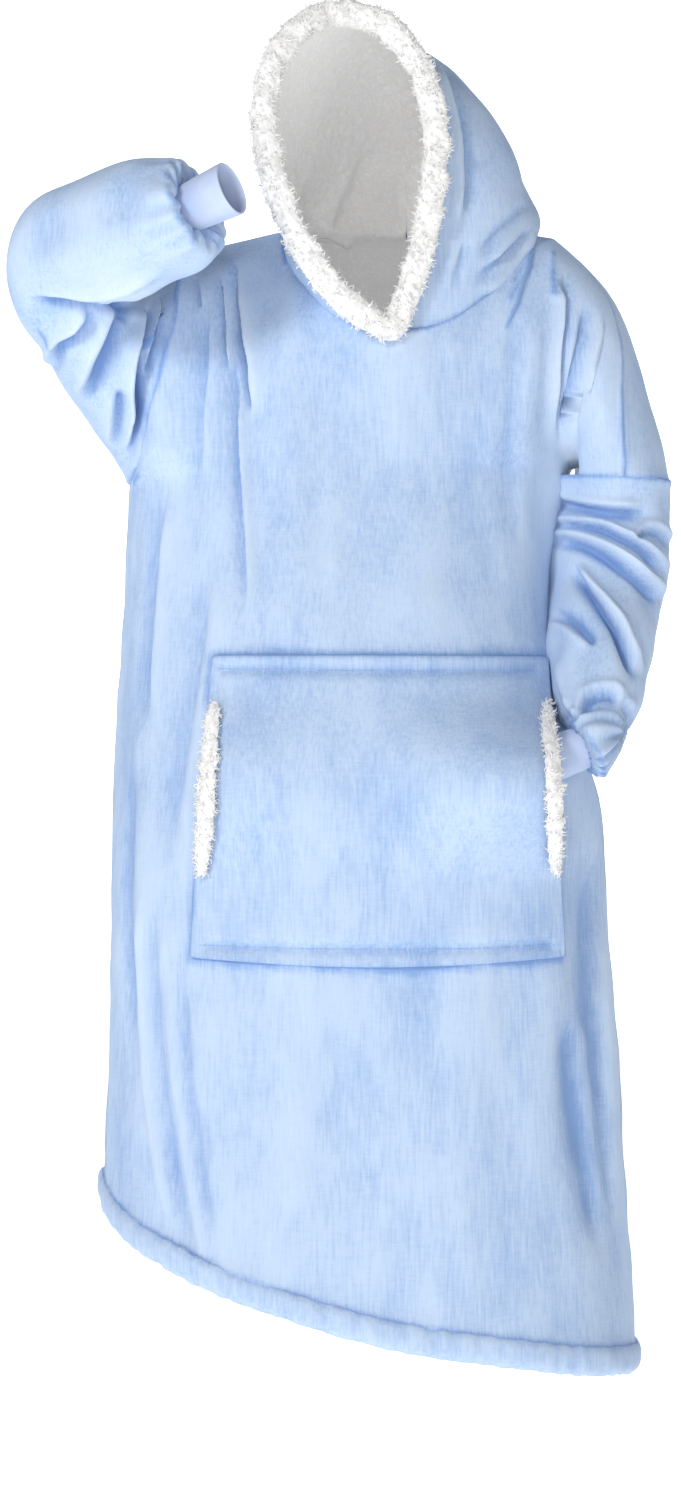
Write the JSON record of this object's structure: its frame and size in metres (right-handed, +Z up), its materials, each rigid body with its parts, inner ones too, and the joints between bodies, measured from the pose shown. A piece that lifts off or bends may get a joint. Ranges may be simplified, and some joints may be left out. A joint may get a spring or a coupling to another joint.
{
  "type": "wearable blanket hoodie",
  "caption": "Oversized long blanket hoodie in worn pose, one sleeve raised and one at the pocket, with a pile-lined hood, a wide front pocket and a slanting puffy hem.",
  "frame": {"origin": "base of the neck between the wearer's shoulders, where the garment is carried", "axes": "+X to the wearer's left, +Y to the wearer's back, +Z up; the wearer stands upright and faces -Y"},
  "size_m": [0.7578, 0.511, 1.5392],
  "materials": {
    "plush_blue": "short brushed flannel plush",
    "pile_white": "curly white pile",
    "knit_blue": "smooth fine knit"
  },
  "bodies": {
    "root": {"front_panel": "plush_blue", "back_panel": "plush_blue", "sleeve_right": "plush_blue", "sleeve_left": "plush_blue", "hood_right": "plush_blue", "hood_left": "plush_blue", "hood_lining_right": "pile_white", "hood_lining_left": "pile_white", "hood_trim": "pile_white", "cuff_right": "knit_blue", "cuff_left": "knit_blue", "hem_band": "plush_blue", "pocket": "plush_blue", "pocket_trim_right": "pile_white", "pocket_trim_left": "pile_white"}
  },
  "joints": []
}
